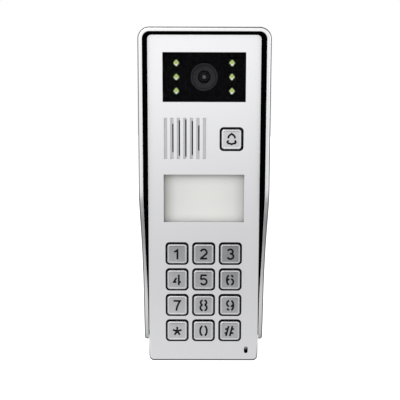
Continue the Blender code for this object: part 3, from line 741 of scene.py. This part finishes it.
def makePanel():
    low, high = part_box("front_panel")
    face = low.y
    plate = addBlock("frontPanel", (low.x, face, low.z), (high.x, face + panel["thickness"], high.z))
    dress(plate, "panel_aluminium")
    roundCorners(plate, panel["topRadius"], 10, lambda place: place.z > 0)
    roundCorners(plate, panel["bottomRadius"], 10, lambda place: place.z < low.z + 1 * mm)
    turn = low.z + panel["bottomRadius"] + 0.01 * mm

    def onUpperRim(place):
        return onOutline(place, low, high) and place.z > turn - 0.1 * mm

    roundFront(plate, face, panel["lowerEdgeRound"], 6, lambda place: place.z < turn)
    roundFront(plate, face, panel["edgeRound"], 4, onUpperRim)

    tools = []
    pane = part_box("camera_window")
    spread = 2 * panel["paneGap"]
    centre = middleOf("camera_window")
    size = pane[1] - pane[0]
    tools.append(holeTool(centre.x, centre.z, size.x + spread, size.z + spread, 0))
    centre = middleOf("name_window")
    tools.append(holeTool(centre.x, centre.z, *panel["nameOpening"], 0, wall="panel_aluminium"))
    for name in keyNames:
        centre = middleOf(f"key_{name}")
        hole = panel["keyHole"]
        tools.append(holeTool(centre.x, centre.z, hole, hole, panel["holeRadius"]))
    centre = middleOf("call_button")
    hole = panel["callHole"]
    tools.append(holeTool(centre.x, centre.z, hole, hole, panel["holeRadius"]))
    centre = middleOf("speaker_baffle")
    for index in range(panel["slotCount"]):
        x = centre.x + (index - (panel["slotCount"] - 1) / 2) * panel["slotPitch"]
        tools.append(holeTool(x, centre.z, *panel["slotSize"], panel["slotRadius"], 2, "slot_metal"))
    centre = middleOf("microphone_boot")
    width, height = panel["microphoneHole"]
    tools.append(holeTool(centre.x, centre.z, width, height, width / 2 - 0.01 * mm))
    cut(plate, tools)
    breakEdges(plate, panel["holeEdge"], 2, 60)
    smooth(plate, 30)
    plate.data.materials.append(finishes["rounded_edge_shade"])
    bottom = low.z + panel["lowerEdgeRound"]
    for side in plate.data.polygons:
        # painted shade: the rounded bottom edge is darker than the sheet
        tilted = -0.965 < side.normal.y < -0.02 and side.normal.z < -0.3
        if tilted and side.center.z < bottom:
            side.material_index = len(plate.data.materials) - 1
    fit(plate, "panel_aluminium", "station", "front_panel")
    print("front panel made")


# rain hood and its black liner, swept up one side, over the top and down the other

hood = {
    # the hood's depth in front of the panel at each height, both in mm
    "sweep": [
        (12, 26.3), (-1, 23.2), (-17, 17.4), (-33, 12.1), (-58, 6.6), (-90, 3.3), (-102, 1.7), (-105, 0.9),
    ],
    "sweepTop": 14 * mm,  # above this height the hood keeps its full depth
    "steps": (0.25 * mm, 2.0 * mm, 10.0 * mm),  # between sections at the end, in the sweep and above it
    "flare": 0.078,
    "side": 3.1 * mm,
    "wall": 1.4 * mm,
    "lip": 2.0 * mm,
    "lipGrowth": 1.2 * mm,
    "lipSpread": 1.0 * mm,  # the lip widens this much from the first height below to the second
    "spreadHeights": (-30 * mm, -80 * mm),
    "lipDepth": 1.2 * mm,
    "outerRound": 1.5 * mm,
    "innerRound": 0.25 * mm,
    "endRound": 1.5 * mm,
    "endNarrowing": 0.9 * mm,
    "bend": 24.0 * mm,
    "linerInside": 0.35 * mm,
    "linerLeast": 0.3 * mm,
    "linerTurns": (0.4 * mm, 1.6 * mm),  # behind the bend, where the liner closes in behind the panel
    "linerSeal": -0.05 * mm,  # close round the housing, behind the panel, so no light comes through
    "gap": 0.3 * mm,
}


def hoodDepthAt(height):
    # how far the hood stands in front of the panel's face, in mm, at a height in mm
    knots = hood["sweep"]
    if height >= knots[0][0]:
        return knots[0][1]
    slopes = []
    for index in range(len(knots)):
        below = knots[min(index + 1, len(knots) - 1)]
        above = knots[max(index - 1, 0)]
        slopes.append((above[1] - below[1]) / (above[0] - below[0]))
    slopes[0] = 0.0
    for index in range(len(knots) - 1):
        top, bottom = knots[index], knots[index + 1]
        if height >= bottom[0]:
            span = top[0] - bottom[0]
            t = (height - bottom[0]) / span
            return (
                (2 * t**3 - 3 * t**2 + 1) * bottom[1]
                + (t**3 - 2 * t**2 + t) * span * slopes[index + 1]
                + (3 * t**2 - 2 * t**3) * top[1]
                + (t**3 - t**2) * span * slopes[index]
            )
    return knots[-1][1]


def hoodPath(end):
    # places along the panel's edge as (x, z, outward x, outward z, depth in front of the face)
    low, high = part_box("front_panel")
    radius = panel["topRadius"]
    endStep, sweepStep, plainStep = hood["steps"]
    heights = [end + step * endStep for step in range(7)]
    while heights[-1] < hood["sweepTop"]:
        heights.append(heights[-1] + sweepStep)
    while heights[-1] < high.z - radius - 1.2 * plainStep:
        heights.append(heights[-1] + plainStep)
    heights.append(high.z - radius - 0.5 * mm)
    side = [(low.x, height, -1.0, 0.0, hoodDepthAt(height / mm) * mm) for height in heights]
    full = hood["sweep"][0][1] * mm
    for step in range(17):
        angle = math.pi - math.pi / 2 * step / 16
        x = low.x + radius + radius * math.cos(angle)
        z = high.z - radius + radius * math.sin(angle)
        side.append((x, z, math.cos(angle), math.sin(angle), full))
    top = [(x * mm, high.z, 0.0, 1.0, full) for x in (-30, -15, 0, 15, 30)]
    return side + top + [(-x, z, -nx, nz, depth) for x, z, nx, nz, depth in side[::-1]]


def quarter(outX, outY, radius, start, steps=4):
    # points round a quarter circle about a corner's own centre
    points = []
    for step in range(steps + 1):
        angle = math.radians(start + 90 * step / steps)
        points.append((outX + radius * math.cos(angle), outY + radius * math.sin(angle)))
    return points


def lipInnerEdge(height, depth):
    start, last = hood["spreadHeights"]
    along = min(1.0, max(0.0, (start - height) / (start - last)))
    spread = hood["lipSpread"] * along**2 * (3 - 2 * along)
    width = hood["lip"] + hood["lipGrowth"] * depth / (hood["sweep"][0][1] * mm) + spread
    return hood["side"] + hood["flare"] * depth - width


def hoodSection(height, depth, end):
    # (offset from the panel's edge, depth from the wall) round the sheet and its lip
    face = -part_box("front_panel")[0].y
    front = face + depth
    away = max(0.0, 1 - (height - end) / hood["endRound"])
    narrowing = hood["endNarrowing"] * (1 - math.sqrt(max(0.0, 1 - away * away)))
    side = hood["side"] - narrowing
    outer = side + hood["flare"] * depth
    inner = lipInnerEdge(height, depth)
    wall = hood["side"] - hood["wall"]
    back = -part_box("rain_hood")[1].y
    roundOut, roundIn = hood["outerRound"], hood["innerRound"]
    section = [(side, back), (side, hood["bend"])]
    section += quarter(outer - roundOut, front - roundOut, roundOut, 0)
    section += quarter(inner + roundIn, front - roundIn, roundIn, 90, 3)
    section += [
        (inner, front - hood["lipDepth"]),
        (wall + hood["flare"] * depth, front - hood["lipDepth"]),
        (wall, hood["bend"]),
        (wall, back),
    ]
    return section


def linerSection(height, depth, end):
    face = -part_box("front_panel")[0].y
    front = face + depth - hood["lipDepth"] - hood["gap"]
    outer = hood["side"] - hood["wall"] - hood["gap"]
    flared = outer + hood["flare"] * depth
    inner = min(max(hood["linerInside"], lipInnerEdge(height, depth)), flared - hood["linerLeast"])
    back = -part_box("hood_liner")[1].y
    first, second = hood["linerTurns"]
    return [
        (outer, back),
        (outer, hood["bend"]),
        (flared, front),
        (inner, front),
        (hood["linerInside"], hood["bend"] - first),
        (hood["linerSeal"], hood["bend"] - second),
        (hood["linerSeal"], back),
    ]


def sweepSection(name, end, sectionAt):
    # one section drawn as a ring of points, then extruded from place to place along the panel's edge
    path = hoodPath(end)
    count = len(sectionAt(path[0][1], path[0][4], end))
    bpy.ops.object.select_all(action="DESELECT")
    bpy.ops.mesh.primitive_circle_add(vertices=count, radius=0.01, fill_type="NGON")
    piece = settle(name)
    bpy.ops.object.mode_set(mode="EDIT")
    bpy.ops.mesh.select_mode(type="FACE")
    bpy.ops.mesh.select_all(action="SELECT")
    for number, (x, z, outX, outZ, depth) in enumerate(path):
        if number > 0:
            bpy.ops.mesh.extrude_region_move()
        mesh = bmesh.from_edit_mesh(piece.data)
        ring = [face for face in mesh.faces if face.select][0]
        points = sectionAt(z, depth, end)
        if number == 0:
            mesh.verts.ensure_lookup_table()
            ordered = list(ring.verts)
        else:
            # each new corner lies on the corner that it was drawn out of
            ordered = []
            for point in lastRing:
                ordered.append(min(ring.verts, key=lambda vert: (vert.co - point).length))
        for vert, (offset, out) in zip(ordered, points):
            vert.co = Vector((x + outX * offset, -out, z + outZ * offset))
        lastRing = [vert.co.copy() for vert in ordered]
        bmesh.update_edit_mesh(piece.data)
    faceOutward()
    return piece


def makeHood():
    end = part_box("rain_hood")[0].z
    shell = sweepSection("rainHood", end, hoodSection)
    smooth(shell, 40)
    dress(shell, "hood_aluminium", "rounded_edge_shade")
    for face in shell.data.polygons:
        # painted shade: the outer half of the rounded edge is darker than the sheet
        outward = face.normal.x * face.center.x > 0.1 * abs(face.center.x) or face.normal.z > 0.3
        face.material_index = 1 if outward and -0.9 < face.normal.y < -0.1 else 0
    fit(shell, "hood_aluminium", "station", "rain_hood")
    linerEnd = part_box("hood_liner")[0].z
    liner = sweepSection("hoodLiner", linerEnd, linerSection)
    smooth(liner, 40)
    fit(liner, "liner_black", "station", "hood_liner")
    print("rain hood and liner made")


# keys and call button: metal caps with stencil-cut legends

cap = {
    "radius": 2.2 * mm,
    "frontRound": 0.8 * mm,
    "rim": 1.25 * mm,
    "slope": 0.5 * mm,
    "fieldDepth": 0.3 * mm,
    "stroke": 1.4 * mm,
    "sideShadeStart": 1.0 * mm,  # behind the cap's front, where the painted shade on its side walls begins
}


def arcPoints(x, z, radiusX, radiusZ, start, end):
    points = []
    steps = 14
    for step in range(steps + 1):
        angle = math.radians(start + (end - start) * step / steps)
        points.append((x + radiusX * math.cos(angle), z + radiusZ * math.sin(angle)))
    return points


def mirrored(strokes):
    return strokes + [[(-x, z) for x, z in stroke] for stroke in strokes]


def halfTurned(strokes):
    return [[(-x, -z) for x, z in stroke] for stroke in strokes]


def armOfStar(degrees):
    angle = math.radians(degrees)
    length, middle = 3.5, -0.3
    return [(0.0, middle), (length * math.cos(angle), length * math.sin(angle) + middle)]


six = [
    arcPoints(-0.6, -0.1, 2.0, 3.7, 100, 260),
    [(0.65, 3.6), (1.4, 3.2), (2.2, 2.3)],
    arcPoints(0.3, -1.55, 2.05, 2.3, 80, -80),
    [(-2.4, -0.9), (-1.7, 0.2), (-0.6, 0.75)],
]

# strokes of each legend in mm from the middle of its cap
legends = {
    "1": [[(-2.2, 1.5), (-0.9, 2.1), (0.3, 3.0), (0.3, -4.1)]],
    "2": [arcPoints(0.0, 1.3, 2.3, 2.25, 165, -32) + [(-2.1, -3.4)], [(-2.7, -3.55), (2.6, -3.55)]],
    "3": [arcPoints(-0.1, 1.85, 1.95, 1.75, 160, -85), arcPoints(0.0, -1.8, 2.3, 2.05, 100, -160)],
    "4": [
        [(-0.5, 1.6), (-2.4, -1.7), (-0.5, -1.7)],
        [(1.3, 4.0), (1.3, -4.1)],
        [(1.3, -1.7), (2.9, -1.7)],
    ],
    "5": [[(2.3, 3.55), (-1.75, 3.55), (-2.1, 0.1)], arcPoints(0.0, -1.4, 2.35, 2.3, 142, -155)],
    "6": six,
    "7": [[(-2.8, 3.55), (2.2, 3.55), (0.8, 1.0), (-0.2, -1.6), (-0.6, -4.1)]],
    "8": mirrored(
        [arcPoints(-0.45, 2.3, 1.75, 1.75, 97, 262), arcPoints(-0.45, -1.75, 2.0, 2.2, 98, 263)]
    ),
    "9": halfTurned(six),
    "star": [armOfStar(degrees) for degrees in (90, 162, 234, 306, 18)],
    "0": mirrored([arcPoints(-0.6, 0.0, 1.95, 3.7, 96, 264)]),
    "hash": [
        [(-0.9, 3.8), (-2.9, -4.0)],
        [(2.0, 3.8), (0.0, -4.0)],
        [(-3.5, 1.45), (-1.3, 1.45)],
        [(1.2, 1.45), (3.2, 1.45)],
        [(-3.9, -1.75), (-2.1, -1.75)],
        [(0.4, -1.75), (2.8, -1.75)],
    ],
    "bell": [
        [(-2.45, 0.7), (-2.3, 2.0), (-1.55, 3.0), (0.0, 4.05), (1.55, 3.0), (2.3, 2.0), (2.45, 0.7)],
        [
            (-2.3, -0.65),
            (-3.1, -2.1),
            (-2.4, -2.95),
            (-1.1, -3.1),
            (0.0, -3.6),
            (1.1, -3.1),
            (2.4, -2.95),
            (3.1, -2.1),
            (2.3, -0.65),
        ],
    ],
}


def strokeTool(points, x, z, near, far):
    # a flat bar drawn along the stroke's line, reaching through the cap
    profile = bpy.data.curves.new("strokeProfile", "CURVE")
    profile.dimensions = "2D"
    edge = profile.splines.new("POLY")
    edge.points.add(3)
    half = cap["stroke"] / 2
    tall = (far - near) / 2
    corners = [(-half, -tall), (half, -tall), (half, tall), (-half, tall)]
    for point, (u, v) in zip(edge.points, corners):
        point.co = (u, v, 0, 1)
    edge.use_cyclic_u = True
    profileObject = bpy.data.objects.new("strokeProfile", profile)
    bpy.context.scene.collection.objects.link(profileObject)
    line = bpy.data.curves.new("stroke", "CURVE")
    line.dimensions = "2D"
    spline = line.splines.new("POLY")
    spline.points.add(len(points) - 1)
    for point, (u, v) in zip(spline.points, points):
        point.co = (u * mm, v * mm, 0, 1)
    line.bevel_mode = "OBJECT"
    line.bevel_object = profileObject
    line.use_fill_caps = True
    stroke = bpy.data.objects.new("stroke", line)
    bpy.context.scene.collection.objects.link(stroke)
    onlyPick(stroke)
    bpy.ops.object.convert(target="MESH")
    stroke = bpy.context.object
    stroke.rotation_euler = (math.pi / 2, 0, 0)
    stroke.location = (x, -(near + far) / 2, z)
    bpy.ops.object.transform_apply(location=True, rotation=True, scale=True)
    bpy.data.objects.remove(profileObject, do_unlink=True)
    tidyMesh(stroke)
    # painted shade: the walls of the legend cuts are near-black
    return dress(stroke, "black_and_recess_shade")


def onRim(place, low, high):
    # on the block's outer wall, round its corners too
    half = (high - low) / 2
    middle = (high + low) / 2
    across = abs(place.x - middle.x)
    along = abs(place.z - middle.z)
    corner = cap["radius"]
    if across > half.x - corner and along > half.z - corner:
        reach = math.hypot(across - half.x + corner, along - half.z + corner)
        return abs(reach - corner) < 10 * tiny
    return abs(across - half.x) < 10 * tiny or abs(along - half.z) < 10 * tiny


def makeCap(node, legend):
    low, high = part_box(node)
    name = "callButton" if node == "call_button" else "keyCap_" + legend
    piece = addBlock(name, low, high)
    if node == "call_button":
        dress(piece, "call_metal", "call_rim", "key_side_shade")
    else:
        dress(piece, "key_metal", "key_rim", "key_side_shade")
    roundCorners(piece, cap["radius"], 8)
    pickFaces(piece, lambda place, normal: normal.y < -0.9)
    bpy.ops.mesh.inset(thickness=cap["rim"])
    bpy.ops.mesh.inset(thickness=cap["slope"], depth=-cap["fieldDepth"])
    endEdit()
    # the front faces take the rim metal, and the side walls further back take the painted shade
    for face in piece.data.polygons:
        if abs(face.center.y - low.y) < tiny:
            face.material_index = 1
        elif face.center.y > low.y + cap["sideShadeStart"]:
            face.material_index = 2

    def onFrontRim(place):
        return abs(place.y - low.y) < tiny and onRim(place, low, high)

    pickEdges(piece, lambda a, b: onFrontRim(a) and onFrontRim(b))
    roundPicked(cap["frontRound"], 4, material=1)
    centre = (low + high) / 2
    for points in legends[legend]:
        tool = strokeTool(points, centre.x, centre.z, -high.y - overshoot, -low.y + overshoot)
        cut(piece, [tool])
    smooth(piece, 35)
    fit(piece, "key_metal", node, node)


def makeCaps():
    for name in keyNames:
        makeCap(f"key_{name}", name)
    makeCap("call_button", "bell")
    print("key caps and call button made")


# camera behind its smoked pane

eye = {
    "paneEdge": 0.25 * mm,
    # radius and depth behind the barrel's front in mm, from the bore out
    "barrelSteps": [
        (4.6, 4.5), (4.6, 2.9), (4.9, 2.75), (4.9, 2.5),
        (6.0, 1.95), (6.02, 2.3), (6.2, 2.3), (6.22, 1.85),
        (7.2, 1.35), (7.22, 1.7), (7.4, 1.7), (7.42, 1.25),
        (8.1, 0.9), (8.12, 1.2), (8.3, 1.2), (8.32, 0.35),
        (9.35, 0.2), (9.4, 0.0), (9.75, 0.04), (9.9, 0.3), (9.9, 7.1),
    ],
    "grooves": (6.11, 7.31, 8.21),  # the radius of each groove's middle in mm
    "grooveHalf": 0.11,  # half of its width, in mm too
    "band": (8.4, 9.38),  # the duller band runs from one radius to the other
    "cupDepth": 0.6 * mm,
    "cupSize": (4.1 * mm, 4.9 * mm),
    "cupRim": 0.5 * mm,
    "cupLip": 0.02 * mm,
    "cupSink": 0.15 * mm,
    "domeHeight": 2.1 * mm,
    "glintSize": (1.3 * mm, 2.0 * mm),
    "glintDrop": 1.35 * mm,
    "boreRadius": 5.0,  # these three in mm
    "lensRadius": 4.3,
    "reflectionSpotRadius": 1.0,
}


def makeEye():
    low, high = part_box("camera_window")
    pane = addBlock("cameraPane", low, high)
    roundFront(pane, low.y, eye["paneEdge"], 2)
    smooth(pane, 30)
    fit(pane, "smoked_glass", "station", "camera_window")

    low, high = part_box("lens_barrel")
    centre = (low + high) / 2
    front = -low.y
    profile = [(radius * mm, front - depth * mm) for radius, depth in eye["barrelSteps"]]
    barrel = turnProfile("lensBarrel", centre.x, centre.z, profile, 72)
    smooth(barrel, 30)
    dress(barrel, "lens_ring", "lens_bore_shade", "lens_band")
    # the bore and the grooves take the dark finish, as painted shade in the grooves
    for face in barrel.data.polygons:
        reach = math.hypot(face.center.x - centre.x, face.center.z - centre.z) / mm
        inGroove = min(abs(reach - groove) for groove in eye["grooves"]) < eye["grooveHalf"]
        if reach < eye["boreRadius"] or inGroove:
            face.material_index = 1
        elif eye["band"][0] < reach < eye["band"][1]:
            face.material_index = 2
    fit(barrel, "black_plastic", "station", "lens_barrel")

    low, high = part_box("lens_glass")
    reach = eye["lensRadius"] * mm
    foot = -high.y
    bulge = -low.y - foot
    dome = [(reach, foot)]
    for step in range(8):
        angle = math.radians(12 * step)
        dome.append((reach * math.cos(angle), foot + bulge * (0.4 + 0.6 * math.sin(angle))))
    glass = turnProfile("lensGlass", centre.x, centre.z, dome, 48)
    smooth(glass, 60)
    dress(glass, "lens_glass", "lens_painted_reflection")
    # painted reflection: the faces in the lens's middle take the pale glowing spot
    for face in glass.data.polygons:
        away = math.hypot(face.center.x - centre.x, face.center.z - centre.z) / mm
        face.material_index = 1 if face.normal.y < -0.5 and away < eye["reflectionSpotRadius"] else 0
    fit(glass, "lens_glass", "station", "lens_glass")
    for number in range(1, 7):
        makeLamp(number)
    print("camera made")


def addDiamond(name, x, z, depth, size):
    # a flat four-sided plate, on its corner, with its middle at a depth in front of the wall
    bpy.ops.object.select_all(action="DESELECT")
    bpy.ops.mesh.primitive_cylinder_add(
        vertices=4,
        radius=1,
        depth=eye["cupDepth"],
        location=(x, -depth, z),
        rotation=(math.pi / 2, 0, 0),
    )
    bpy.context.object.scale = (size[0] / 2, size[1] / 2, 1)
    return settle(name)


def makeLamp(number):
    # a clear dome over a diamond-shaped cup of phosphor; the cup's yellow-green is the phosphor's own and
    # its glow is painted light, and its lower sides glow white as a painted glint
    low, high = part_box(f"lamp_{number}")
    centre = (low + high) / 2
    radius = (high.x - low.x) / 2
    foot = -high.y
    tip = -low.y
    shoulder = tip - eye["domeHeight"]
    profile = [(radius, foot), (radius, shoulder)]
    for step in range(1, 8):
        angle = math.radians(12 * step)
        profile.append((radius * math.cos(angle), shoulder + eye["domeHeight"] * math.sin(angle)))
    lamp = turnProfile(f"lampDome_{number}", centre.x, centre.z, profile, 32)
    dress(lamp, "lamp_shell")
    smooth(lamp, 60)

    cup = addDiamond("lampCupGlow", centre.x, centre.z, shoulder - eye["cupDepth"], eye["cupSize"])
    dress(cup, "lamp_cup_glow", "lamp_resin", "lamp_glint")
    pickFaces(cup, lambda place, normal: normal.y < -0.9)
    bpy.ops.mesh.inset(thickness=eye["cupRim"])
    bpy.ops.mesh.inset(thickness=eye["cupLip"], depth=-eye["cupSink"])
    endEdit()
    for face in cup.data.polygons:
        away = face.center - centre
        if face.normal.y > -0.5:
            continue
        if math.hypot(away.x, away.z) < eye["cupRim"] / 5:
            face.material_index = 1
        elif away.z < -eye["cupRim"] / 2:
            face.material_index = 2
    # painted highlight: a small white plate below the cup glows as a glint
    glintDepth = shoulder - 0.6 * eye["cupDepth"]
    glint = addDiamond("lampGlint", centre.x, centre.z - eye["glintDrop"], glintDepth, eye["glintSize"])
    dress(glint, "lamp_glint")
    lamp = joinPieces([lamp, cup, glint])
    fit(lamp, "lamp_resin", "station", f"lamp_{number}")


def dressFrame():
    slots = {row["node"]: row["material_slot"] for row in frame["record"]["subparts"]}
    for node, piece in frame["nodes"].items():
        dress(piece, slots[node])
    # the camera mask and microphone boot are black parts, given the same near-black, shineless finish as
    # the painted shade in the holes
    dress(frame["nodes"]["camera_mask"], "black_and_recess_shade")
    dress(frame["nodes"]["microphone_boot"], "black_and_recess_shade")
    # painted shade: the baffle behind the slots takes the darker slot metal
    dress(frame["nodes"]["speaker_baffle"], "slot_metal")
    print("frame dressed")


def makeWorld():
    world = bpy.data.worlds.new("studio")
    bpy.context.scene.world = world
    world.use_nodes = True
    tree = Tree(world.node_tree)
    background = world.node_tree.nodes["Background"]
    direction = tree.add("ShaderNodeTexCoord", output=0)
    x, y, z = tree.split(direction)
    shade = tree.ramp(0.5 + z * 0.5, stage["rise"]) * tree.ramp(0.5 - y * 0.5, stage["depth"])
    shade = shade * tree.ramp(0.5 + x * 0.5, stage["side"])
    seen = tree.add("ShaderNodeLightPath")
    tone = tree.mixColour(seen, shade, (1.0, 1.0, 1.0))
    world.node_tree.links.new(tone.socket, background.inputs["Color"])
    background.inputs["Strength"].default_value = 1.0


def makeStage():
    makeWorld()
    for lamp in lamps:
        addAreaLight(**lamp)
    bpy.ops.object.select_all(action="DESELECT")
    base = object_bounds()[0][2] - stage["floorDrop"]
    bpy.ops.mesh.primitive_plane_add(size=stage["floorSize"], location=(0, 0, base))
    floor = settle("studioFloor")
    material, tree, shader = newFinish("studioFloor")
    grain = tree.noise(tree.place(), 3.0, 2.0, 0.5)
    pale = stage["floorColour"]
    tone = tree.mixColour(grain, tuple(c * 0.985 for c in pale), pale)
    feed(tree, shader, Base_Color=tone, Roughness=0.9, Emission_Color=tone, Emission_Strength=1.0)
    floor.data.materials.append(material)
    floor.visible_glossy = False
    floor.visible_diffuse = False
    bpy.context.scene.view_settings.view_transform = "Standard"
    print("stage made")


finishes = makeFinishes()
placeCamera()
makeStage()
dressFrame()
makePanel()
makeHood()
makeEye()
makeCaps()
